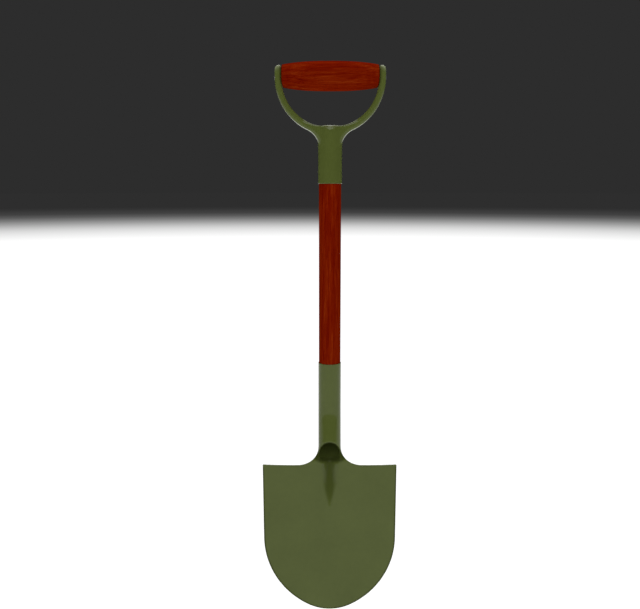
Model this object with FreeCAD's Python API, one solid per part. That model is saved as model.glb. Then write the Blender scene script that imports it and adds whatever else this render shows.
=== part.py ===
import FreeCAD, Part
import math
import os
from FreeCAD import Vector

# Compact D-handled garden spade, in millimetres.
# Heights below are measured up from the blade's point, with the wooden shaft upright on the Z axis.
# The blade's hollow face looks to -Y. At the end every piece is lowered by grip_height, so that the
# origin is the middle of the hand grip, where the spade is held or hung.

# Hand grip: a turned wooden barrel that lies along X, on a steel rod
grip_height = 702.75
grip_middle_radius = 18.25
grip_end_radius = 13.9
grip_end_gap = 0.4
rod_radius = 4.0
rod_head_radius = 6.0
rod_head_depth = 2.5

# D frame: two arms that bow down into one socket
bow_height = 700.2
bow_outer_radius = 69.5
bow_inner_half_width = 61.0
bow_inner_drop = 60.5
arm_tip_height = 715.3
arm_tip_radius = 4.5
arm_depth = 18.0
arm_edge_radius = 2.0
crotch_height = 641.8
crotch_fillet = 30.0
neck_fillet = 25.0
upper_socket_radius = 14.6
upper_socket_wall = 1.8
upper_socket_bottom = 570.0
upper_socket_crown = 6.5

# Shaft: a round stick, with a thinner tenon at each end where it sits in a socket
shaft_radius = 14.25
shaft_top = 631.0
shaft_foot = 277.0
shaft_chamfer = 1.5
shaft_end_gap = 1.0

# Blade and lower socket: one pressed sheet
sheet = 1.8
lower_socket_radius = 15.0
lower_socket_top = 335.5
bend_height = 267.0
bend_radius = 60.0
neck_lean = math.radians(14.0)
blade_lean = math.radians(5.0)
crease_height = 204.0
dish_radius = 1000.0
shoulder_height = 199.0
corner_height = 200.8
corner_half_width = 89.3
flank_half_width = 88.0
flank_radius = 107.0
point_radius = 65.0
flare_width = 27.0
flare_height = 24.0
arch_front = 38.5
arch_side = 55.0
groove_straight = 15.0
groove_length = 62.0
groove_point_radius = 0.4

# Socket screws: round heads at the back of both sockets
screw_radius = 2.0
screw_length = 19.0
screw_point = 4.0
screw_head_radius = 4.5
screw_head_height = 2.4
upper_screw_height = 593.0
lower_screw_heights = {"upper": 318.0, "lower": 294.0}

# Size of the solids that only trim other solids
reach = 120.0

across = Vector(1, 0, 0)
back = Vector(0, 1, 0)
up = Vector(0, 0, 1)


def line(start, end):
    return Part.makeLine(start, end)


def arc(start, middle, end):
    return Part.Arc(start, middle, end).toShape()


def face_of(edges):
    """A flat face whose outline is the given edges, each starting where the last one ends."""
    return Part.Face(Part.Wire(edges))


def bar(start, end, radius):
    """A round bar from one point to another."""
    return Part.makeCylinder(radius, start.distanceToPoint(end), start, end - start)


def mirrored(edges):
    """The same edges on the other side of the YZ plane, in reverse order."""
    return [edge.mirror(Vector(0, 0, 0), across) for edge in reversed(edges)]


def rims_at(shape, height):
    """The flat round edges of a shape at one height."""
    return [edge for edge in shape.Edges if abs(edge.BoundBox.ZMin - height) < 0.01
            and abs(edge.BoundBox.ZMax - height) < 0.01]


# ------------------------------------------------------------------ D frame

def front_arc(centre_x, centre_z, radius, start_angle, end_angle):
    """An arc in the XZ plane, with its angles counted from +X towards +Z."""
    angles = (start_angle, (start_angle + end_angle) / 2, end_angle)
    points = [Vector(centre_x + radius * math.cos(a), 0, centre_z + radius * math.sin(a)) for a in angles]
    return arc(*points)


def bow_outer_edges():
    """The outer edge of one half of the D frame, from the foot of its socket up to the arm's tip."""
    fillet_x = upper_socket_radius + neck_fillet
    fillet_drop = math.sqrt((bow_outer_radius + neck_fillet) ** 2 - fillet_x ** 2)
    fillet_z = bow_height - fillet_drop
    bow_angle = -math.atan2(fillet_drop, fillet_x)
    tip_x = bow_outer_radius - arm_tip_radius
    tip_z = arm_tip_height - arm_tip_radius
    return [
        line(Vector(upper_socket_radius, 0, upper_socket_bottom), Vector(upper_socket_radius, 0, fillet_z)),
        front_arc(fillet_x, fillet_z, neck_fillet, math.pi, math.pi + bow_angle),
        front_arc(0, bow_height, bow_outer_radius, bow_angle, 0),
        line(Vector(bow_outer_radius, 0, bow_height), Vector(bow_outer_radius, 0, tip_z)),
        front_arc(tip_x, tip_z, arm_tip_radius, 0, math.pi / 2),
    ]


def hand_opening(inset):
    """The space inside the D, smaller by inset all round: straight sides, a half ellipse, a flat crotch."""
    half_width = bow_inner_half_width - inset
    drop = bow_inner_drop - inset
    floor_height = crotch_height + inset
    centre = Vector(0, -reach / 2, bow_height)
    left = centre - across * half_width
    right = centre + across * half_width
    ellipse = Part.Ellipse(right, centre - up * drop, centre)
    outline = [Part.Arc(ellipse, 0, math.pi).toShape(), line(left, left + up * reach),
               line(left + up * reach, right + up * reach), line(right + up * reach, right)]
    space = face_of(outline).extrude(back * reach)
    below_floor = Part.makeBox(2 * reach, reach, reach, Vector(-reach, -reach / 2, floor_height - reach))
    space = space.cut(below_floor)
    corners = [edge for edge in space.Edges if edge.BoundBox.YLength > reach - 1
               and abs(edge.BoundBox.ZMin - floor_height) < 0.01]
    return space.makeFillet(crotch_fillet, corners)


def arms():
    """The two arms and the root of the socket: a bowl turned about Z, sliced to the arms' depth."""
    tip = Vector(bow_outer_radius - arm_tip_radius, 0, arm_tip_height)
    top_centre = up * arm_tip_height
    foot_centre = up * upper_socket_bottom
    foot = Vector(upper_socket_radius, 0, upper_socket_bottom)
    closing = [line(tip, top_centre), line(top_centre, foot_centre), line(foot_centre, foot)]
    bowl = face_of(bow_outer_edges() + closing).revolve(Vector(0, 0, 0), up, 360)
    slab = Part.makeBox(2 * reach, arm_depth, 2 * reach,
                        Vector(-reach, -arm_depth / 2, upper_socket_bottom))
    bow = bowl.common(slab).cut(hand_opening(0))
    face_edges = [edge for edge in bow.Edges if edge.BoundBox.YLength < 0.01
                  and abs(edge.BoundBox.YMax) > arm_depth / 2 - 0.01 and edge.BoundBox.ZMax > crotch_height]
    return bow.makeFillet(arm_edge_radius, face_edges)


def upper_socket():
    """The round socket under the crotch, with a crowned top."""
    socket = Part.makeCylinder(upper_socket_radius, crotch_height - upper_socket_bottom,
                               up * upper_socket_bottom)
    return socket.makeFillet(upper_socket_crown, rims_at(socket, crotch_height))


def d_frame():
    bore_top = shaft_top + shaft_end_gap
    bore = bar(up * upper_socket_bottom, up * bore_top, upper_socket_radius - upper_socket_wall)
    frame = arms().fuse(upper_socket())
    return frame.cut([bore, grip_rod(), socket_screw(upper_screw_height, upper_socket_radius)])


# ---------------------------------------------------------------- hand grip

def grip_rod():
    """The steel rod through both arms, with its ends riveted into countersinks."""
    left = Vector(-bow_outer_radius, 0, grip_height)
    right = Vector(bow_outer_radius, 0, grip_height)
    left_head = Part.makeCone(rod_head_radius, rod_radius, rod_head_depth, left, across)
    right_head = Part.makeCone(rod_head_radius, rod_radius, rod_head_depth, right, -across)
    return bar(left, right, rod_radius).fuse([left_head, right_head]).removeSplitter()


def hand_grip():
    """The crowned barrel, coped at its ends to follow the inside of the arms."""
    left = Vector(-bow_inner_half_width, 0, grip_height)
    right = Vector(bow_inner_half_width, 0, grip_height)
    left_rim = left + up * grip_end_radius
    right_rim = right + up * grip_end_radius
    crown = arc(left_rim, Vector(0, 0, grip_height + grip_middle_radius), right_rim)
    profile = face_of([line(left, left_rim), crown, line(right_rim, right), line(right, left)])
    barrel = profile.revolve(left, across, 360)
    return barrel.common(hand_opening(grip_end_gap)).cut(bar(left, right, rod_radius))


# -------------------------------------------------------------------- shaft

def shaft():
    stick = bar(up * lower_socket_top, up * upper_socket_bottom, shaft_radius)
    head = bar(up * upper_socket_bottom, up * shaft_top, upper_socket_radius - upper_socket_wall)
    head = head.makeChamfer(shaft_chamfer, rims_at(head, shaft_top))
    foot = bar(up * shaft_foot, up * lower_socket_top, lower_socket_radius - sheet)
    foot = foot.makeChamfer(shaft_chamfer, rims_at(foot, shaft_foot))
    screws = [socket_screw(upper_screw_height, upper_socket_radius)]
    screws += [socket_screw(height, lower_socket_radius) for height in lower_screw_heights.values()]
    return stick.fuse([head, foot]).cut(screws)


# -------------------------------------------------------------------- blade

def neck_point(distance, forward):
    """A point at a distance down the neck's axis from the bend, and forward of that axis."""
    down_axis = Vector(0, -math.sin(neck_lean), -math.cos(neck_lean))
    out = Vector(0, -math.cos(neck_lean), math.sin(neck_lean))
    return up * bend_height + down_axis * distance + out * forward


# The neck's axis meets the blade's face at the crease
neck_length = (bend_height - crease_height * math.cos(blade_lean)) / math.cos(neck_lean)


def blade_point(side, height, forward):
    """A point beside the blade's middle line, up its slope from the point, and forward of its face."""
    up_slope = Vector(0, math.sin(blade_lean), math.cos(blade_lean))
    out = Vector(0, -math.cos(blade_lean), math.sin(blade_lean))
    rise = height - crease_height
    return neck_point(neck_length, 0) + across * side + up_slope * rise + out * forward


def socket_bar(radius):
    """The straight socket, its bend and the leaning neck as one solid bar of the given radius."""
    tangent = bend_radius * math.tan(neck_lean / 2)
    bend_start = up * (bend_height + tangent)
    straight = bar(bend_start, up * lower_socket_top, radius)
    disc = Part.Face(Part.Wire(Part.makeCircle(radius, bend_start, up)))
    elbow = disc.revolve(bend_start - back * bend_radius, -across, math.degrees(neck_lean))
    neck = bar(neck_point(tangent, 0), neck_point(neck_length + groove_straight, 0), radius)
    return straight.fuse([elbow, neck])


def groove_end(radius, point_radius_here):
    """The end of the groove below the neck, which narrows and rises to the blade's face."""
    axis = neck_point(1, 0) - neck_point(0, 0)
    mouth = Part.makeCircle(radius, neck_point(neck_length + groove_straight, 0), axis)
    point = Part.makeCircle(point_radius_here, blade_point(0, crease_height - groove_length, 0), axis)
    return Part.makeLoft([Part.Wire(mouth), Part.Wire(point)], True, True)


def open_front():
    """The space that is in front of the blade's face and below the arch of the socket's mouth."""
    side = across * reach
    low_face = blade_point(0, -reach, 0) - side
    high_face = blade_point(0, shoulder_height + reach, 0) - side
    far_front = blade_point(0, shoulder_height, 2 * reach) - side
    before_face = face_of([line(low_face, high_face), line(high_face, far_front),
                           line(far_front, low_face)])
    arch_slope = (arch_side - arch_front) / lower_socket_radius
    arch_high = neck_point(arch_side - arch_slope * reach, reach) - side
    arch_low = neck_point(arch_side + arch_slope * reach, -reach) - side
    bottom_back = arch_low - up * 2 * reach
    bottom_front = Vector(arch_high.x, arch_high.y, bottom_back.z)
    below_arch = face_of([line(arch_high, arch_low), line(arch_low, bottom_back),
                          line(bottom_back, bottom_front), line(bottom_front, arch_high)])
    return before_face.extrude(2 * side).common(below_arch.extrude(2 * side))


def blade_arc(centre_side, centre_height, radius, start_angle, end_angle, forward):
    """An arc in a plane parallel to the blade, with its angles counted from sideways towards up."""
    angles = (start_angle, (start_angle + end_angle) / 2, end_angle)
    points = [blade_point(centre_side + radius * math.cos(a), centre_height + radius * math.sin(a), forward)
              for a in angles]
    return arc(*points)


def blade_outline(forward):
    """The blade seen square on: neck flare, shoulder, flank and round point, in a plane before its face."""
    flare_side = lower_socket_radius + flare_width
    flare_top = shoulder_height + flare_height
    flare = Part.Ellipse(blade_point(lower_socket_radius, flare_top, forward),
                         blade_point(flare_side, shoulder_height, forward),
                         blade_point(flare_side, flare_top, forward))
    shoulder_run = corner_half_width - flare_side
    shoulder_rise = corner_height - shoulder_height
    shoulder_radius = (shoulder_run ** 2 + shoulder_rise ** 2) / (2 * shoulder_rise)
    shoulder_angle = math.asin(shoulder_run / shoulder_radius)
    flank_inset = flank_radius - flank_half_width
    flank_rise = math.sqrt((flank_radius - point_radius) ** 2 - flank_inset ** 2)
    flank_height = point_radius + flank_rise
    point_angle = -math.atan2(flank_rise, flank_inset)
    half = [
        Part.Arc(flare, 0, math.pi / 2).toShape(),
        blade_arc(flare_side, shoulder_height + shoulder_radius, shoulder_radius,
                  -math.pi / 2, shoulder_angle - math.pi / 2, forward),
        line(blade_point(corner_half_width, corner_height, forward),
             blade_point(flank_half_width, flank_height, forward)),
        blade_arc(-flank_inset, flank_height, flank_radius, 0, point_angle, forward),
        blade_arc(0, point_radius, point_radius, point_angle, -math.pi / 2, forward),
    ]
    top = line(blade_point(-lower_socket_radius, flare_top, forward),
               blade_point(lower_socket_radius, flare_top, forward))
    return face_of(half + mirrored(half) + [top])


def dished_sheet():
    """A sheet wider and longer than the blade, bent forward at its sides."""
    margin = 5.0
    angle = math.asin((corner_half_width + margin) / dish_radius)
    face = [blade_point(dish_radius * math.sin(a), -margin, dish_radius * (1 - math.cos(a)))
            for a in (-angle, 0, angle)]
    outer = dish_radius + sheet
    rear = [blade_point(outer * math.sin(a), -margin, dish_radius - outer * math.cos(a))
            for a in (angle, 0, -angle)]
    section = face_of([arc(*face), line(face[2], rear[0]), arc(*rear), line(rear[2], face[0])])
    length = shoulder_height + flare_height + 2 * margin
    return section.extrude(blade_point(0, length, 0) - blade_point(0, 0, 0))


def blade():
    """The blade, its raised groove and the lower socket, which are one sheet of even thickness."""
    trim_depth = 20.0
    forward = blade_point(0, 0, trim_depth) - blade_point(0, 0, 0)
    plate = dished_sheet().common(blade_outline(-trim_depth / 2).extrude(forward))
    outside = socket_bar(lower_socket_radius).fuse(groove_end(lower_socket_radius, sheet))
    inside = socket_bar(lower_socket_radius - sheet).fuse(
        groove_end(lower_socket_radius - sheet, groove_point_radius))
    shell = outside.cut(open_front()).fuse(plate)
    screws = [socket_screw(height, lower_socket_radius) for height in lower_screw_heights.values()]
    return shell.cut([inside] + screws)


# ------------------------------------------------------------------- screws

def socket_screw(height, socket_radius):
    """A round-headed wood screw, driven forward from the back of a socket."""
    ball_radius = (screw_head_radius ** 2 + screw_head_height ** 2) / (2 * screw_head_height)
    head_top = up * height + back * (socket_radius + screw_head_height)
    ball = Part.makeSphere(ball_radius, head_top - back * ball_radius)
    head = ball.common(bar(up * height, head_top, screw_head_radius))
    head = head.cut(bar(up * (height - reach), up * (height + reach), socket_radius))
    shank_end = up * height + back * (socket_radius - screw_length + screw_point)
    shank = bar(shank_end, up * height + back * (socket_radius + screw_head_height / 2), screw_radius)
    tip = Part.makeCone(screw_radius, screw_radius / 10, screw_point, shank_end, -back)
    return head.fuse([shank, tip]).removeSplitter()


pieces = {
    "blade": blade(),
    "shaft": shaft(),
    "d_frame": d_frame(),
    "hand_grip": hand_grip(),
    "grip_rod": grip_rod(),
    "upper_socket_screw": socket_screw(upper_screw_height, upper_socket_radius),
}
for place, height in lower_screw_heights.items():
    pieces["lower_socket_screw_" + place] = socket_screw(height, lower_socket_radius)

os.makedirs("parts", exist_ok=True)
for name, shape in pieces.items():
    shape.translate(-up * grip_height)
    shape.exportStep("parts/" + name + ".step")
    print(name, "solids", len(shape.Solids), "valid", shape.isValid(), "volume", round(shape.Volume))
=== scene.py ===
import math

import bpy
import numpy as np
from mathutils import Euler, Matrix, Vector


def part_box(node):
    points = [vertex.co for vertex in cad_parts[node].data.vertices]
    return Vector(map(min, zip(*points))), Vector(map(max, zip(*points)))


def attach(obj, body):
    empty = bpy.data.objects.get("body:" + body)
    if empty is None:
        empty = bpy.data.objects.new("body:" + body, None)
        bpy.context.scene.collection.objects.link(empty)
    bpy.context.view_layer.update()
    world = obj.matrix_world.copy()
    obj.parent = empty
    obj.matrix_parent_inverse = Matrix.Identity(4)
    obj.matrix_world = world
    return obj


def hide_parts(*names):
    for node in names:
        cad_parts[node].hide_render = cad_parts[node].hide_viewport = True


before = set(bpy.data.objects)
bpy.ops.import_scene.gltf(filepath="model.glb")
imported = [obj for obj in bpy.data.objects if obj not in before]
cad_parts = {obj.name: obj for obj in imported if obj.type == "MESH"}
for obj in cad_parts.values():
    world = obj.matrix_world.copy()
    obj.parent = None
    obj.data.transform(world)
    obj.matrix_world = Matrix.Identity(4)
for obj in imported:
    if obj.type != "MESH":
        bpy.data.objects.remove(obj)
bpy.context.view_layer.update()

# Shapes are worked out in millimetres of the row frame and scaled to metres as their meshes are made
MM = 0.001


def box_mm(node):
    """The lowest and highest corner of a CAD node, in millimetres."""
    low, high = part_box(node)
    return np.array(low) / MM, np.array(high) / MM


# ------------------------------------------------------------------ sizes read from the frame

frame_low, frame_high = box_mm("d_frame")
blade_low, blade_high = box_mm("blade")
shaft_low, shaft_high = box_mm("shaft")
grip_high = box_mm("hand_grip")[1]

bow_radius = frame_high[0]
arm_tip = frame_high[2]
upper_socket_foot = frame_low[2]
shaft_radius = shaft_high[0]
shaft_top = shaft_high[2]
shaft_foot = shaft_low[2]
socket_rim = blade_high[2]
blade_half_width = blade_high[0]
grip_radius = grip_high[2]

# Details that the boxes don't say
upper_socket_radius = 14.6
upper_socket_wall = 1.8
bow_centre = arm_tip - 15.1
bow_inner_width = 61.0
bow_inner_drop = 60.5
crotch = arm_tip - 73.5
neck_fillet = 25.0
arm_half_depth = 9.0
socket_crown = 6.5
sheet = 1.8
lower_socket_radius = 15.0
grip_end_radius = 13.9
rod_radius = 4.0
rod_head_radius = 6.0
rod_head_depth = 2.5
rod_clearance = 0.05


# ------------------------------------------------------------------ meshes

def make_piece(name, points_mm, faces, material, node, smooth_angle=None):
    """One visible piece, which takes the place of a CAD node."""
    mesh = bpy.data.meshes.new(name)
    mesh.from_pydata([tuple(p) for p in np.asarray(points_mm) * MM], [], [tuple(f) for f in faces])
    mesh.validate()
    mesh.update()
    mesh.polygons.foreach_set("use_smooth", [True] * len(mesh.polygons))
    piece = bpy.data.objects.new(name, mesh)
    bpy.context.scene.collection.objects.link(piece)
    if smooth_angle is not None:
        mesh.set_sharp_from_angle(angle=math.radians(smooth_angle))
    mesh.materials.append(material)
    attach(piece, "root")
    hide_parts(node)
    return piece


def lathe(profile, segments, axis, cope=None):
    """Turns a profile of (radius, place along the axis) pairs about the X or Z axis.

    The profile starts and ends on the axis. cope(points) may move the points of the result.
    """
    profile = np.array(profile, float)
    rings = profile[1:-1]
    angles = np.linspace(0, 2 * math.pi, segments, endpoint=False)
    radius = rings[:, 0][:, None]
    along = np.repeat(rings[:, 1][:, None], segments, axis=1)
    first, second = radius * np.cos(angles), radius * np.sin(angles)
    if axis == "X":
        points = np.stack([along, first, second], axis=-1)
        ends = [(profile[0, 1], 0, 0), (profile[-1, 1], 0, 0)]
    else:
        points = np.stack([first, second, along], axis=-1)
        ends = [(0, 0, profile[0, 1]), (0, 0, profile[-1, 1])]
    points = points.reshape(-1, 3)
    faces = []
    for ring in range(len(rings) - 1):
        for s in range(segments):
            t = (s + 1) % segments
            a, b = ring * segments, (ring + 1) * segments
            faces.append((a + s, a + t, b + t, b + s))
    first_pole, last_pole = len(points), len(points) + 1
    last_ring = (len(rings) - 1) * segments
    for s in range(segments):
        t = (s + 1) % segments
        faces.append((first_pole, t, s))
        faces.append((last_pole, last_ring + s, last_ring + t))
    points = np.vstack([points, ends])
    if cope:
        points = cope(points)
    return points, faces


def rounded_profile(corners, radii, steps=6):
    """A polyline with rounded corners; the first and last points stay as they are."""
    corners = [np.array(c, float) for c in corners]
    result = [corners[0]]
    for before, corner, after, radius in zip(corners, corners[1:], corners[2:], radii):
        to_before = (before - corner) / np.linalg.norm(before - corner)
        to_after = (after - corner) / np.linalg.norm(after - corner)
        half_angle = math.acos(np.clip(to_before @ to_after, -1, 1)) / 2
        if radius <= 0 or half_angle > math.radians(89):
            result.append(corner)
            continue
        run = radius / math.tan(half_angle)
        middle = (to_before + to_after) / np.linalg.norm(to_before + to_after)
        centre = corner + middle * radius / math.sin(half_angle)
        start, end = corner + to_before * run - centre, corner + to_after * run - centre
        for k in range(steps + 1):
            blend = start * (1 - k / steps) + end * (k / steps)
            result.append(centre + blend / np.linalg.norm(blend) * radius)
    result.append(corners[-1])
    return result


def spaced(*stretches):
    """Grid lines along one axis: each stretch is (start, end, spacing), one after the other."""
    lines = []
    for start, end, spacing in stretches:
        count = max(1, int(round((end - start) / spacing)))
        lines.append(np.linspace(start, end, count + 1)[:-1])
    return np.concatenate(lines + [[stretches[-1][1]]])


def smooth_step(low, high, value):
    """Rises from 0 at low to 1 at high, level at both ends."""
    t = np.clip((value - low) / (high - low), 0, 1)
    return t * t * (3 - 2 * t)


def round_max(a, b, radius):
    """The overlap of two solids given by signed distances, with its edge rounded."""
    u, v = np.maximum(a + radius, 0), np.maximum(b + radius, 0)
    return np.minimum(-radius, np.maximum(a, b)) + np.sqrt(u * u + v * v)


def round_min(a, b, radius):
    """Two solids joined, with a round fillet in the corner between them."""
    return -round_max(-a, -b, radius)


def soft_max(a, b, width):
    """The larger of two distances, blended where they differ by less than the width."""
    h = np.maximum(width - np.abs(a - b), 0) / width
    return np.maximum(a, b) + h * h * width / 4


def settle(field, points):
    """Moves points that lie close to a field's zero surface onto it."""
    rounds, probe = 5, 0.02
    least_square, longest_move = 0.05, 0.4
    for _ in range(rounds):
        here = field(*points.T)
        slope = np.stack([field(*(points + probe * axis).T) - field(*(points - probe * axis).T)
                          for axis in np.eye(3)], axis=-1) / (2 * probe)
        square = np.maximum((slope ** 2).sum(axis=1), least_square)
        move = -(here / square)[:, None] * slope
        length = np.linalg.norm(move, axis=1, keepdims=True)
        points = points + move * np.minimum(1, longest_move / np.maximum(length, 1e-9))
    return points


def skin(field, xs, ys, zs):
    """The surface on which field(x, y, z) is zero, as an even net of four-sided faces.

    The field is negative inside the solid and close to the distance from its surface. Each grid cell that
    the surface crosses gets one point, and each crossed grid edge gets one face between four such points.
    """
    value = field(*np.meshgrid(xs, ys, zs, indexing="ij"))
    inside = value < 0
    lines = (xs, ys, zs)
    cell_shape = tuple(n - 1 for n in value.shape)
    total = np.zeros(cell_shape + (3,))
    count = np.zeros(cell_shape)
    crossings = []
    for axis in range(3):
        low = [slice(None)] * 3
        high = [slice(None)] * 3
        low[axis], high[axis] = slice(0, -1), slice(1, None)
        crossed = inside[tuple(low)] != inside[tuple(high)]
        at = np.argwhere(crossed)
        before, after = value[tuple(low)][crossed], value[tuple(high)][crossed]
        share = before / (before - after)
        point = np.stack([lines[k][at[:, k]] for k in range(3)], axis=-1)
        point[:, axis] += share * (lines[axis][at[:, axis] + 1] - lines[axis][at[:, axis]])
        crossings.append((axis, at, inside[tuple(low)][crossed]))
        first, second = [k for k in range(3) if k != axis]
        for step_first in (0, -1):
            for step_second in (0, -1):
                cell = at.copy()
                cell[:, first] += step_first
                cell[:, second] += step_second
                good = (cell >= 0).all(axis=1) & (cell < np.array(cell_shape)).all(axis=1)
                index = tuple(cell[good].T)
                np.add.at(total, index, point[good])
                np.add.at(count, index, 1)
    used = count > 0
    number = np.full(cell_shape, -1)
    number[used] = np.arange(used.sum())
    points = total[used] / count[used][:, None]
    faces = []
    for axis, at, starts_inside in crossings:
        first, second = [(1, 2), (2, 0), (0, 1)][axis]
        ring = []
        for step_first, step_second in ((-1, -1), (0, -1), (0, 0), (-1, 0)):
            cell = at.copy()
            cell[:, first] += step_first
            cell[:, second] += step_second
            ring.append(number[tuple(cell.T)])
        quads = np.stack(ring, axis=-1)
        quads[~starts_inside] = quads[~starts_inside][:, ::-1]
        faces.append(quads)
    return settle(field, points), np.concatenate(faces)


# ------------------------------------------------------------------ node materials

# Moves every pattern off the symmetry planes of the tool
off_grid = (0.3137, 0.1717, 0.2293)


class Nodes:
    """A short way to write a node material."""

    def __init__(self, name):
        self.material = bpy.data.materials.new(name)
        self.material.use_nodes = True
        self.tree = self.material.node_tree
        self.shader = self.tree.nodes["Principled BSDF"]
        self.place = self.add("ShaderNodeTexCoord").outputs["Object"]

    def add(self, kind, **inputs):
        node = self.tree.nodes.new(kind)
        for key, value in inputs.items():
            self.set(node, key.replace("_", " "), value)
        return node

    def set(self, node, socket, value):
        socket = node.inputs[int(socket)] if socket.isdigit() else node.inputs[socket]
        if isinstance(value, bpy.types.NodeSocket):
            self.tree.links.new(value, socket)
        else:
            socket.default_value = value

    def mapped(self, scale, offset=(0, 0, 0)):
        node = self.add("ShaderNodeMapping", Vector=self.place, Scale=scale, Location=offset)
        return node.outputs["Vector"]

    def noise(self, vector, scale, detail, roughness, distortion=0.0):
        node = self.add("ShaderNodeTexNoise", Vector=vector, Scale=scale, Detail=detail, Roughness=roughness,
                        Distortion=distortion)
        return node.outputs["Fac"]

    def pattern(self, scale, detail, roughness):
        """Noise that is the same in every direction."""
        return self.noise(self.mapped((1, 1, 1), off_grid), scale, detail, roughness)

    def ramp(self, value, *stops):
        node = self.add("ShaderNodeValToRGB", Fac=value)
        elements = node.color_ramp.elements
        while len(elements) < len(stops):
            elements.new(0.5)
        for element, (place, colour) in zip(elements, stops):
            element.position = place
            element.color = (*colour, 1)
        return node.outputs["Color"]

    def mix(self, share, a, b, kind="MIX"):
        node = self.tree.nodes.new("ShaderNodeMix")
        node.data_type = "RGBA"
        node.blend_type = kind
        self.set(node, "0", share)
        self.set(node, "6", a)
        self.set(node, "7", b)
        return node.outputs[2]

    def math(self, operation, a, b, c=0.0):
        node = self.tree.nodes.new("ShaderNodeMath")
        node.operation = operation
        for place, value in enumerate((a, b, c)):
            self.set(node, str(place), value)
        return node.outputs[0]

    def spread(self, value, low, high, to_low, to_high):
        """Maps low to to_low and high to to_high, and stays between them."""
        node = self.add("ShaderNodeMapRange", Value=value)
        for socket, number in zip(("From Min", "From Max", "To Min", "To Max"), (low, high, to_low, to_high)):
            node.inputs[socket].default_value = number
        return node.outputs["Result"]

    def bump(self, height, depth, strength):
        node = self.add("ShaderNodeBump", Height=height, Distance=depth, Strength=strength)
        return node.outputs["Normal"]

    def attribute(self, name):
        node = self.tree.nodes.new("ShaderNodeAttribute")
        node.attribute_name = name
        return node.outputs["Fac"]


def enamel():
    """Olive-green gloss enamel on steel, with faint orange peel and a slow drift of tone.

    The paint is lighter and a little rougher where the vertices hold painted highlights, and darker and less
    glossy where they hold painted shade or darker paint.
    """
    n = Nodes("green_enamel")
    highlight_tint, shade_tint = (0.420, 0.450, 0.330, 1), (0.0060, 0.0085, 0.0008, 1)
    open_gloss, shaded_gloss, shaded_from = 0.21, 0.04, 0.45
    painted_highlight, painted_shade_and_darkening = n.attribute("painted_highlight"), n.attribute("painted_shade_and_darkening")
    drift = n.pattern(22, 2, 0.5)
    cloud = n.pattern(160, 3, 0.55)
    fleck = n.pattern(1500, 2, 0.6)
    tone = n.math("MULTIPLY_ADD", cloud, 0.3, n.math("MULTIPLY", fleck, 0.2))
    tone = n.math("MULTIPLY_ADD", drift, 0.5, tone)
    paint = n.ramp(tone, (0.30, (0.081, 0.103, 0.0215)), (0.50, (0.090, 0.114, 0.0250)),
                   (0.70, (0.099, 0.125, 0.0285)))
    # Painted highlights: where the vertices say so, the paint turns light, standing in for glints on rounded
    # edges, and a little rougher.
    highlight_share = n.math("MULTIPLY", painted_highlight, n.spread(n.pattern(420, 4, 0.65), 0.36, 0.64, 0.45, 1.0))
    paint = n.mix(highlight_share, paint, highlight_tint)
    # Painted shade: where the vertices say so, the paint turns dark and less glossy, standing in for shade in
    # the socket's mouth and groove; elsewhere it is only slightly darker paint.
    paint = n.mix(n.math("MULTIPLY", painted_shade_and_darkening, n.spread(cloud, 0.3, 0.7, 0.9, 1.0)), paint, shade_tint)
    n.set(n.shader, "Base Color", paint)
    roughness = n.math("ADD", n.spread(cloud, 0.3, 0.7, 0.10, 0.17), n.math("MULTIPLY", highlight_share, 0.15))
    n.set(n.shader, "Roughness", roughness)
    n.set(n.shader, "Specular IOR Level", n.spread(painted_shade_and_darkening, 0.0, shaded_from, open_gloss, shaded_gloss))
    n.set(n.shader, "Normal", n.bump(n.pattern(620, 2, 0.5), 0.000004, 0.6))
    return n.material


def wood(name, axis, seed, shade):
    """Stained and varnished hardwood with its grain along one axis, darkened by the shade factor as painted
    shade.
    """
    n = Nodes(name)
    along = (0, 0, 1) if axis == "Z" else (1, 0, 0)

    def stretched(cross, length, offset):
        scale = tuple(length if along[k] else cross for k in range(3))
        return n.mapped(scale, offset=(offset + seed, offset * 0.7, offset * 1.3 - seed))

    bend = n.noise(stretched(14, 5, 3.1), 1.0, 2, 0.5)
    bands = n.noise(stretched(150, 7, 1.7), 1.0, 3, 0.6, 0.6)
    figure = n.noise(stretched(420, 18, 5.3), 1.0, 4, 0.65, 0.9)
    fibre = n.noise(stretched(1500, 45, 8.9), 1.0, 3, 0.7, 0.3)
    pores = n.noise(stretched(2300, 150, 12.4), 1.0, 2, 0.55)
    tone = n.math("MULTIPLY_ADD", figure, 0.40, n.math("MULTIPLY", fibre, 0.30))
    tone = n.math("MULTIPLY_ADD", bands, 0.30, tone)
    tone = n.math("MULTIPLY_ADD", n.math("SUBTRACT", bend, 0.5), 0.22, tone)
    stops = ((0.36, (0.110, 0.0014, 0.0001)), (0.46, (0.160, 0.0056, 0.0002)),
             (0.54, (0.205, 0.0125, 0.0004)), (0.66, (0.285, 0.0360, 0.0040)))
    stain = n.ramp(tone, *[(place, [shade * c for c in colour]) for place, colour in stops])
    dark_pore = n.spread(pores, 0.60, 0.70, 0.0, 0.75)
    stain = n.mix(dark_pore, stain, (0.095, 0.0015, 0.0001, 1))
    n.set(n.shader, "Base Color", stain)
    n.set(n.shader, "Roughness", n.spread(figure, 0.3, 0.7, 0.46, 0.60))
    n.shader.inputs["Specular IOR Level"].default_value = 0.0
    height = n.math("SUBTRACT", n.math("MULTIPLY", fibre, 0.6), n.math("MULTIPLY", dark_pore, 0.8))
    n.set(n.shader, "Normal", n.bump(height, 0.00006, 0.5))
    return n.material


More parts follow.
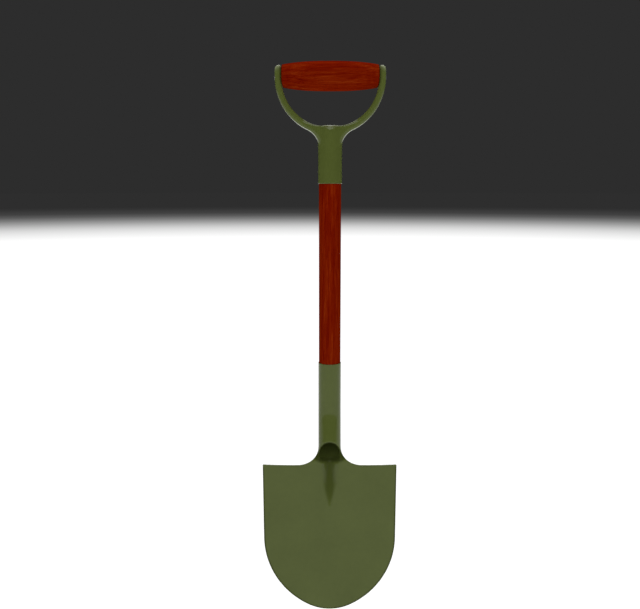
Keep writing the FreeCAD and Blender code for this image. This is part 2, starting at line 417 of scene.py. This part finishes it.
def bare_steel():
    """Zinc-coated steel with fine specks and dull patches."""
    n = Nodes("bare_steel")
    patch = n.pattern(900, 4, 0.6)
    speck = n.pattern(4200, 2, 0.6)
    n.set(n.shader, "Base Color", n.ramp(patch, (0.3, (0.30, 0.30, 0.29)), (0.5, (0.46, 0.46, 0.45)),
                                         (0.7, (0.56, 0.56, 0.54))))
    n.shader.inputs["Metallic"].default_value = 1.0
    n.set(n.shader, "Roughness", n.spread(speck, 0.3, 0.7, 0.26, 0.44))
    n.set(n.shader, "Normal", n.bump(speck, 0.00003, 0.5))
    return n.material


enamel_paint = enamel()
shaft_wood = wood("stained_wood_along_shaft", "Z", 4.0, 1.0)
# Painted shade: the grip's wood is a darker copy of the shaft's, making up for the stronger light on the grip.
grip_wood = wood("stained_wood_along_grip", "X", 9.0, 0.88)
steel = bare_steel()


def set_wear(piece, painted_highlight, painted_shade_and_darkening):
    """Stores, for each vertex, where highlights are painted on and where shade and darker paint are painted
    on.
    """
    for name, values in (("painted_highlight", painted_highlight), ("painted_shade_and_darkening", painted_shade_and_darkening)):
        attribute = piece.data.attributes.new(name, "FLOAT", "POINT")
        attribute.data.foreach_set("value", np.asarray(values, np.float32))


# ------------------------------------------------------------------ D frame

def foot_lip(z):
    """How far the upper socket flares at its foot."""
    lip, lip_height, lip_width = 0.2, 0.8, 1.1
    return lip * np.exp(-((z - upper_socket_foot - lip_height) / lip_width) ** 2)


def bowl_distance(radius, z):
    """The outside of the bow, its neck fillet and its socket, turned about the Z axis."""
    below = np.minimum(z - bow_centre, 0)
    bow = np.sqrt(radius ** 2 + below ** 2) - bow_radius
    socket = radius - upper_socket_radius - foot_lip(z)
    far_off = 1e3
    plain = np.minimum(bow, np.where(z < bow_centre, socket, far_off))
    centre_radius = upper_socket_radius + neck_fillet
    reach = bow_radius + neck_fillet
    drop = math.sqrt(reach ** 2 - centre_radius ** 2)
    toward_bow = np.array([-centre_radius, drop]) / reach
    away, rise = radius - centre_radius, z - (bow_centre - drop)
    share_bow = rise / toward_bow[1]
    share_socket = -away + toward_bow[0] * share_bow
    in_corner = (share_bow >= 0) & (share_socket >= 0)
    return np.where(in_corner, neck_fillet - np.hypot(away, rise), plain)


def hand_opening_distance(x, z):
    """The space inside the D: negative inside it."""
    below = np.minimum(z - bow_centre, 0)
    ellipse = (np.sqrt((x / bow_inner_width) ** 2 + (below / bow_inner_drop) ** 2) - 1) * bow_inner_width
    return soft_max(ellipse, crotch - z, 2.0)


def rod_distance(x, y, z):
    """The hole for the grip rod and its two countersunk heads: negative inside it."""
    from_axis = np.hypot(y, z)
    head = rod_head_radius - (bow_radius - np.abs(x)) * (rod_head_radius - rod_radius) / rod_head_depth
    return from_axis - np.maximum(rod_radius, np.minimum(head, rod_head_radius)) - rod_clearance


def d_frame_field(x, y, z):
    tip_rounding, outer_rounding = 5.2, 2.6
    inner_rounding = np.interp(np.abs(x), (14, 34), (1.6, 4.2))
    socket_fillet, foot_rounding, bore_rounding, bore_end_gap = 2.5, 0.55, 0.25, 1.0
    radius = np.hypot(x, y)
    bowl = round_max(bowl_distance(radius, z), z - arm_tip, tip_rounding)
    window = round_max(np.abs(y) - arm_half_depth, -hand_opening_distance(x, z), inner_rounding)
    arms = round_max(bowl, window, outer_rounding)
    socket = round_max(radius - upper_socket_radius - foot_lip(z), z - crotch, socket_crown)
    solid = round_min(arms, socket, socket_fillet)
    solid = round_max(solid, upper_socket_foot - z, foot_rounding)
    bore = np.maximum(radius - upper_socket_radius + upper_socket_wall, z - shaft_top - bore_end_gap)
    solid = round_max(solid, -bore, bore_rounding)
    return np.maximum(solid, -rod_distance(x, y, z))


def wear_d_frame(piece):
    """Painted highlights at the socket's foot, at the arms' tips and on the crotch, and slightly darker paint
    in the middle.
    """
    points = np.array([v.co for v in piece.data.vertices]) / MM
    side, z = np.abs(points[:, 0]), points[:, 2]
    # Painted highlights: a light line at the socket's foot, light tips on the arms and a light crescent under
    # the crotch.
    at_foot = 0.12 * np.exp(-((z - upper_socket_foot) / 0.5) ** 2)
    from_tip = arm_tip - z + 0.6 * np.maximum(bow_radius - side, 0)
    at_tips = np.exp(-(from_tip / 5.2) ** 2)
    on_crotch = 0.16 * np.clip(1.2 - (crotch - z) / 4.5 - (side / 10.5) ** 2, 0, 1)
    painted_highlight = np.maximum(np.maximum(at_foot, at_tips), on_crotch)
    # The frame's middle is given slightly darker paint.
    set_wear(piece, painted_highlight, 0.07 * np.exp(-(side / 32) ** 4))


def build_d_frame():
    xs = spaced((-71, -58, 0.65), (-58, -17.5, 0.9), (-17.5, 17.5, 0.6), (17.5, 58, 0.9), (58, 71, 0.65))
    ys = spaced((-16, 16, 0.55))
    zs = spaced((upper_socket_foot - 1, upper_socket_foot + 4, 0.3), (upper_socket_foot + 4, crotch - 12, 1.2),
                (crotch - 12, arm_tip - 22, 0.7), (arm_tip - 22, arm_tip + 1, 0.6))
    points, faces = skin(d_frame_field, xs, ys, zs)
    wear_d_frame(make_piece("d_frame_enamelled", points, faces, enamel_paint, "d_frame"))


build_d_frame()


# ------------------------------------------------------------------ hand grip and its rod

def build_grip():
    """The barrel: flat in the middle, fuller towards its ends, with a rounded arris at each end."""
    end_gap, arris_radius, crown_power = 0.4, 1.2, 2.5
    half_length = bow_inner_width - end_gap
    along = np.concatenate([np.linspace(half_length, half_length - arris_radius, 7),
                            np.linspace(half_length - arris_radius, 0, 47)[1:]])
    in_arris = np.clip((along - half_length) / arris_radius + 1, 0, 1)
    radius = grip_radius - (grip_radius - grip_end_radius) * (along / half_length) ** crown_power
    radius -= arris_radius * (1 - np.sqrt(1 - in_arris ** 2))
    end_face = np.linspace(rod_radius + rod_clearance, grip_end_radius - arris_radius - 0.05, 8)
    outline = [(r, -half_length) for r in end_face] + list(zip(radius, -along))
    outline += [(r, -a) for r, a in reversed(outline[:-1])]
    closed = [(0, outline[0][1])] + outline + [(0, outline[-1][1])]

    def cope(points):
        """Each end follows the inside of the arm behind it."""
        below = np.minimum(points[:, 2] - bow_centre, 0)
        room = np.sqrt(np.maximum(1 - (below / (bow_inner_drop - end_gap)) ** 2, 0.01))
        points[:, 0] *= 1 - (1 - room) * np.abs(points[:, 0] / half_length) ** 6
        return points

    points, faces = lathe(closed, 144, "X", cope)
    make_piece("hand_grip_turned", points, faces, grip_wood, "hand_grip")


def build_rod():
    """The rod and its riveted heads, which stand slightly proud of the arms."""
    shank, head = rod_radius - rod_clearance, rod_head_radius - 0.12
    right = [(shank, 0), (shank, bow_radius - rod_head_depth - 0.1), (head, bow_radius - 0.45),
             (head - 0.5, bow_radius - 0.02), (head * 0.55, bow_radius + 0.22), (0, bow_radius + 0.25)]
    half = rounded_profile(right, [0, 0.3, 0.25, 0.8, 0.0], 5)[1:]
    profile = [(r, -a) for r, a in reversed(half)] + [(r, a) for r, a in half]
    points, faces = lathe(profile, 72, "X")
    make_piece("grip_rod_riveted", points, faces, steel, "grip_rod")


build_grip()
build_rod()


# ------------------------------------------------------------------ shaft

def build_shaft():
    """The stick and its two tenons, with rings close enough together for smooth shading."""
    foot = lower_socket_radius - sheet
    head = upper_socket_radius - upper_socket_wall
    corners = [(0, shaft_foot), (foot, shaft_foot), (foot, socket_rim), (shaft_radius, socket_rim),
               (shaft_radius, upper_socket_foot), (head, upper_socket_foot), (head, shaft_top), (0, shaft_top)]
    outline = rounded_profile(corners, [1.5, 0.0, 0.45, 0.3, 0.0, 1.5], 5)
    ring_spacing = 4.0
    filled = []
    for start, end in zip(outline, outline[1:]):
        start, end = np.array(start, float), np.array(end, float)
        steps = max(1, int(np.linalg.norm(end - start) / ring_spacing))
        filled += [tuple(start + (end - start) * k / steps) for k in range(steps)]
    filled.append(tuple(outline[-1]))
    points, faces = lathe(filled, 96, "Z")
    make_piece("shaft_turned", points, faces, shaft_wood, "shaft", smooth_angle=50)


build_shaft()


# ------------------------------------------------------------------ blade and lower socket

# Places along the blade's middle line, counted up from its point
blade_lean, neck_lean = math.radians(5), math.radians(14)
crease, crease_run = 204.0, 5.0
bend_below_rim, bend_radius = 68.5, 60.0
shoulder, corner_rise = 199.0, 1.8
flank_half_width, flank_radius, point_radius = 88.0, 107.0, 65.0
flare_width, flare_height = 27.0, 24.0
arch_top_reach, arch_side_reach = 38.5, 55.0
dish_radius = 1000.0
groove_point = 142.0
point_above_low = 0.16
point_z = blade_low[2] + point_above_low
neck_run = (socket_rim - point_z - bend_below_rim - crease * math.cos(blade_lean)) / math.cos(neck_lean)
bend_tangent = bend_radius * math.tan(neck_lean / 2)
neck_end = crease + neck_run - bend_tangent
bend_end = neck_end + bend_radius * neck_lean
socket_end = bend_end + bend_below_rim - bend_tangent
arch_side = crease + neck_run - arch_side_reach
arch_slope = (arch_side_reach - arch_top_reach) / lower_socket_radius
inner_radius = lower_socket_radius - sheet

# The middle line itself: its lean, and where it runs
line_step = 0.1
line_place = np.arange(-6, socket_end + 6, line_step)
past_crease = smooth_step(crease - crease_run, crease + crease_run, line_place)
past_bend = np.clip((line_place - neck_end) / (bend_end - neck_end), 0, 1)
line_lean = blade_lean + (neck_lean - blade_lean) * past_crease - neck_lean * past_bend
step_lean = (line_lean[1:] + line_lean[:-1]) / 2
line_y = np.concatenate([[0], np.cumsum(np.sin(step_lean) * line_step)])
line_z = np.concatenate([[0], np.cumsum(np.cos(step_lean) * line_step)])
line_y -= np.interp(socket_end, line_place, line_y)
line_z += socket_rim - np.interp(socket_end, line_place, line_z)

# How deep the groove's floor lies behind the face
floor_place = np.arange(groove_point - 70, crease + 40, line_step)
floor_slope = np.interp(floor_place, (groove_point, groove_point + 24, groove_point + 38, crease - 6, crease),
                        (0.13, 0.17, 0.19, 0.15, 0.15))
floor_depth = np.concatenate([[0], np.cumsum(floor_slope[1:] * line_step)])
floor_depth -= np.interp(groove_point, floor_place, floor_depth)


def to_row_frame(across, place, forward):
    """Turns a place along the middle line, and distances across and forward of it, into x, y and z."""
    lean = np.interp(place, line_place, line_lean)
    y = np.interp(place, line_place, line_y) - forward * np.cos(lean)
    z = np.interp(place, line_place, line_z) + forward * np.sin(lean)
    return np.stack([across, y, z], axis=-1)


def outline_distance(across, place):
    """The blade seen square on, as a signed distance from its outline."""
    side = np.abs(across)
    socket_overlap, far_inside = 3, -20.0
    inset = flank_radius - flank_half_width
    flank_rise = math.sqrt((flank_radius - point_radius) ** 2 - inset ** 2)
    flank_top = point_radius + flank_rise
    lean = (blade_half_width - flank_half_width) / (shoulder + corner_rise - flank_top)
    straight = (side - flank_half_width - lean * (place - flank_top)) / math.hypot(1, lean)
    flank = np.hypot(side + inset, place - flank_top) - flank_radius
    point = np.hypot(side, place - point_radius) - point_radius
    curved = np.where((side + inset) * flank_rise + (place - flank_top) * inset > 0, flank, point)
    around = np.where(place > flank_top, straight, curved)
    flare_side = lower_socket_radius + flare_width
    run = np.maximum(side - flare_side, 0)
    shoulder_line = place - shoulder - corner_rise * (run / (blade_half_width - flare_side)) ** 2
    below_flare_top = shoulder + flare_height - place
    inside_ellipse = np.hypot((flare_side - side) / flare_width, below_flare_top / flare_height)
    flare = (1 - inside_ellipse) * (flare_width + flare_height) / 2
    flare = np.where(below_flare_top < 0, side - lower_socket_radius, flare)
    beside_socket = side > lower_socket_radius - socket_overlap
    above = np.where(side > flare_side, shoulder_line, np.where(beside_socket, flare, far_inside))
    above = np.maximum(above, place - shoulder - flare_height)
    return np.maximum(around, above)


def groove_half_width(place):
    """Half the width of the bell-shaped groove, which narrows towards its point."""
    return np.interp(place, (groove_point, groove_point + 32, crease), (2.5, 8.0, 9.0))


def smile(across, place):
    """The place, measured so that the fold under the socket's mouth, a shallow smile, lies at the crease."""
    return place + 3.0 - 1.5 * (across / lower_socket_radius) ** 4


def blade_surfaces(across, place, forward):
    """Distances from the hollow of the socket, and from the pressed face with its groove."""
    hollow = np.hypot(across, forward) - inner_radius
    dish_fade, mouth_rounding = 16, 1.2
    fade = 1 - smooth_step(crease, crease + dish_fade, place)
    face = forward - across ** 2 / (2 * dish_radius) * fade
    depth = np.maximum(np.interp(place, floor_place, floor_depth), 0)
    half = groove_half_width(place)
    groove = depth * np.exp(-(across / half) ** 2)
    grooved = (face + groove) / np.sqrt(1 + (2 * across / half ** 2 * groove) ** 2)
    opened = round_max(face, -hollow, mouth_rounding)
    share = smooth_step(crease - 2, crease + 9, smile(across, place))
    return hollow, grooved * (1 - share) + opened * share


def blade_field(across, place, forward):
    """The socket's tube, open at the front below its arch, joined to the pressed plate."""
    mouth_edge, rim_edge, plate_edge, joint_fillet, tube_foot = 0.25, 0.4, 0.55, 0.8, 4
    hollow, pressed = blade_surfaces(across, place, forward)
    arch = (place - arch_side - arch_slope * forward) / math.hypot(1, arch_slope)
    tube = np.maximum(-hollow, hollow - sheet)
    tube = round_max(tube, -np.maximum(-forward, arch), mouth_edge)
    tube = round_max(tube, place - socket_end, rim_edge)
    tube = np.maximum(tube, crease + tube_foot - place)
    plate = round_max(np.maximum(pressed, -pressed - sheet), outline_distance(across, place), plate_edge)
    return round_min(tube, plate, joint_fillet)


def mouth_grime(across, place, forward):
    """Painted shade in the socket's mouth and in the fold below it, thinning out along the groove."""
    hollow, pressed = blade_surfaces(across, place, forward)
    from_fold = smile(across, place) - crease
    in_mouth = (from_fold > 4) & (hollow < 0.8 * sheet)
    on_front = (np.abs(pressed) < sheet / 2) & (place < shoulder + flare_height)
    strip = np.interp(place, (groove_point, groove_point + 10, groove_point + 32, crease - 8),
                      (1.0, 3.5, 7.5, 6.0))
    in_groove = 0.3 * np.exp(-(across / strip) ** 4) * smooth_step(groove_point - 2, groove_point + 22, place)
    deep = np.interp(from_fold, (-1, 3, 14, 26), (0.0, 0.42, 0.5, 0.7))
    wing = np.interp(from_fold, (-1, 3, 20), (0.0, 0.62, 0.68))
    fold = np.where(np.abs(across) > inner_radius - 0.5, wing, deep)
    return np.where(in_mouth | on_front, np.maximum(in_groove * (from_fold < 8), fold), 0)


def wear_blade(piece, across, place, forward):
    """Painted highlights on the shoulders and the socket's top edge, painted shade in the mouth, and darker
    paint round the edge.
    """
    from_edge = np.minimum(outline_distance(across, place), 0)
    on_flank = place < shoulder - 1.5
    # Painted highlights along the shoulders' top edges and round the socket's top edge.
    painted_highlight = 0.12 * np.exp(-(from_edge / 0.7) ** 2) * (place < crease) * ~on_flank
    painted_highlight = np.maximum(painted_highlight, 0.12 * np.exp(-((place - socket_end) / 0.5) ** 2))
    # Darker paint along the blade's lower edges.
    edge_darkening = 0.72 * np.exp(-(from_edge / 1.5) ** 2) * on_flank
    set_wear(piece, painted_highlight, np.maximum(mouth_grime(across, place, forward), edge_darkening))


def build_blade():
    xs = spaced((-91, -22, 1.45), (-22, 22, 0.65), (22, 91, 1.45))
    places = spaced((-2, 12, 0.8), (12, 138, 1.5), (138, 197, 1.0), (197, 232, 0.7), (232, 330, 1.4),
                    (330, socket_end + 1.5, 0.5))
    forwards = spaced((-16.4, 16.9, 0.55))
    points, faces = skin(blade_field, xs, places, forwards)
    placed = to_row_frame(*points.T)
    piece = make_piece("blade_pressed", placed, faces, enamel_paint, "blade")
    wear_blade(piece, *points.T)


build_blade()


# ------------------------------------------------------------------ socket screws

# How far each screw was turned when its slot came to rest, in radians
screw_turns = {"upper_socket_screw": 0.5, "lower_socket_screw_upper": -0.35, "lower_socket_screw_lower": 1.1}


def build_screw(node, turn):
    """A round-headed wood screw with a slot across its head and a plain pointed shank."""
    low, high = box_mm(node)
    centre_z = (low[2] + high[2]) / 2
    head_radius = (high[0] - low[0]) / 2
    head_top = high[1]
    point_y = low[1]
    head_height, shank_radius = 2.4, 2.0
    slot_half_width, slot_depth = 0.55, 1.15
    point_slope, point_scale = 0.5, 0.894
    ball = (head_radius ** 2 + head_height ** 2) / (2 * head_height)

    def field(x, y, z):
        rise = z - centre_z
        from_axis = np.hypot(x, rise)
        dome = np.sqrt(x ** 2 + rise ** 2 + (y - head_top + ball) ** 2) - ball
        head = round_max(dome, head_top - head_height - 0.2 - y, 0.2)
        across_slot = x * math.cos(turn) + rise * math.sin(turn)
        slot = np.maximum(np.abs(across_slot) - slot_half_width, head_top - slot_depth - y)
        head = round_max(head, -slot, 0.15)
        cone = (from_axis - (y - point_y) * point_slope) * point_scale
        shank = np.maximum(round_max(from_axis - shank_radius, cone, 0.3), y - head_top + 1.5)
        return round_min(head, shank, 0.3)

    xs = spaced((-head_radius - 0.6, head_radius + 0.6, 0.25))
    ys = spaced((point_y - 0.5, head_top - 4, 0.5), (head_top - 4, head_top + 0.5, 0.2))
    points, faces = skin(field, xs, ys, xs + centre_z)
    make_piece(node + "_slotted", points, faces, steel, node)


for screw_node, screw_turn in screw_turns.items():
    build_screw(screw_node, screw_turn)


# ------------------------------------------------------------------ stage, light and camera

# The floor's brightness against the distance from the tool, in metres
floor_tones = ((0.0, 1.0), (6.5, 0.98), (7.2, 0.925), (7.7, 0.840), (8.25, 0.750), (8.9, 0.636), (9.9, 0.432),
               (10.5, 0.322), (11.5, 0.188), (12.7, 0.095), (14.1, 0.049), (16.6, 0.0305), (18.2, 0.0250))
floor_fade_length = 20.0
floor_glow = 1.09
floor_paint = 0.03
backdrop_grey = 0.0262


def floor_mesh():
    """A flat disc of rings, level with the blade's point."""
    rings = [0, 0.5, 1, 2, 3, 4, 5, 6, 7, 8, 9, 10, 11, 12, 14, 16, 18, 20, 24, 32, 48]
    segments = 96
    floor_z = blade_low[2] * MM
    points = [(0, 0, floor_z)]
    faces = []
    for radius in rings[1:]:
        points += [(radius * math.cos(a), radius * math.sin(a), floor_z)
                   for a in np.linspace(0, 2 * math.pi, segments, endpoint=False)]
    for s in range(segments):
        t = (s + 1) % segments
        faces.append((0, 1 + s, 1 + t))
        for ring in range(len(rings) - 2):
            a, b = 1 + ring * segments, 1 + (ring + 1) * segments
            faces.append((a + s, b + s, b + t, a + t))
    mesh = bpy.data.meshes.new("floor")
    mesh.from_pydata(points, [], faces)
    return mesh


def floor_material():
    """A floor that is lit round the tool and fades out far from it."""
    n = Nodes("studio_floor")
    distance = n.tree.nodes.new("ShaderNodeVectorMath")
    distance.operation = "LENGTH"
    n.tree.links.new(n.mapped((1, 1, 0)), distance.inputs[0])
    share = n.math("DIVIDE", distance.outputs["Value"], floor_fade_length)
    tone = n.ramp(share, *[(place / floor_fade_length, (grey, grey, grey)) for place, grey in floor_tones])
    glow = n.add("ShaderNodeEmission", Color=tone, Strength=floor_glow)
    n.set(n.shader, "Base Color", n.mix(1.0, tone, (floor_paint, floor_paint, floor_paint, 1), "MULTIPLY"))
    n.shader.inputs["Roughness"].default_value = 0.9
    n.shader.inputs["Specular IOR Level"].default_value = 0.0
    both = n.tree.nodes.new("ShaderNodeAddShader")
    n.tree.links.new(n.shader.outputs[0], both.inputs[0])
    n.tree.links.new(glow.outputs[0], both.inputs[1])
    n.tree.links.new(both.outputs[0], n.tree.nodes["Material Output"].inputs["Surface"])
    return n.material


def build_floor():
    mesh = floor_mesh()
    floor = bpy.data.objects.new("floor", mesh)
    bpy.context.scene.collection.objects.link(floor)
    mesh.materials.append(floor_material())


def build_world():
    world = bpy.data.worlds.new("studio")
    bpy.context.scene.world = world
    world.use_nodes = True
    background = world.node_tree.nodes["Background"]
    background.inputs["Color"].default_value = (backdrop_grey, backdrop_grey, backdrop_grey, 1)
    background.inputs["Strength"].default_value = 1.0


def soft_light(name, place, target, width, height, power):
    """A rectangular light in metres and watts that faces its target."""
    data = bpy.data.lights.new(name, "AREA")
    data.shape = "RECTANGLE"
    data.size, data.size_y = width, height
    data.energy = power
    lamp = bpy.data.objects.new(name, data)
    bpy.context.scene.collection.objects.link(lamp)
    lamp.location = place
    lamp.rotation_euler = (Vector(target) - Vector(place)).to_track_quat("-Z", "Y").to_euler()


build_floor()
build_world()
soft_light("overhead_panel", (0, -0.5, 1.9), (0, -0.5, 0), 1.8, 5.8, 98)

view = bpy.context.scene.view_settings
view.view_transform = "Standard"
view.look = "None"
view.exposure = 0
view.gamma = 1

# The camera, in metres, by its offset from the grip's axis
camera_side, camera_forward, camera_below_grip = -0.01285, -0.9595, 0.13315
camera_tilt_down = math.radians(9.249)
camera_data = bpy.data.cameras.new("camera")
camera_data.sensor_width = 36
camera_data.lens = 41.625
camera_data.clip_start, camera_data.clip_end = 0.05, 100
camera = bpy.data.objects.new("camera", camera_data)
bpy.context.scene.collection.objects.link(camera)
grip_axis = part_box("hand_grip")[1].z - grip_radius * MM
camera.location = (camera_side, camera_forward, grip_axis - camera_below_grip)
camera.rotation_euler = Euler((math.pi / 2 - camera_tilt_down, 0, 0))
bpy.context.scene.camera = camera

bpy.context.view_layer.update()
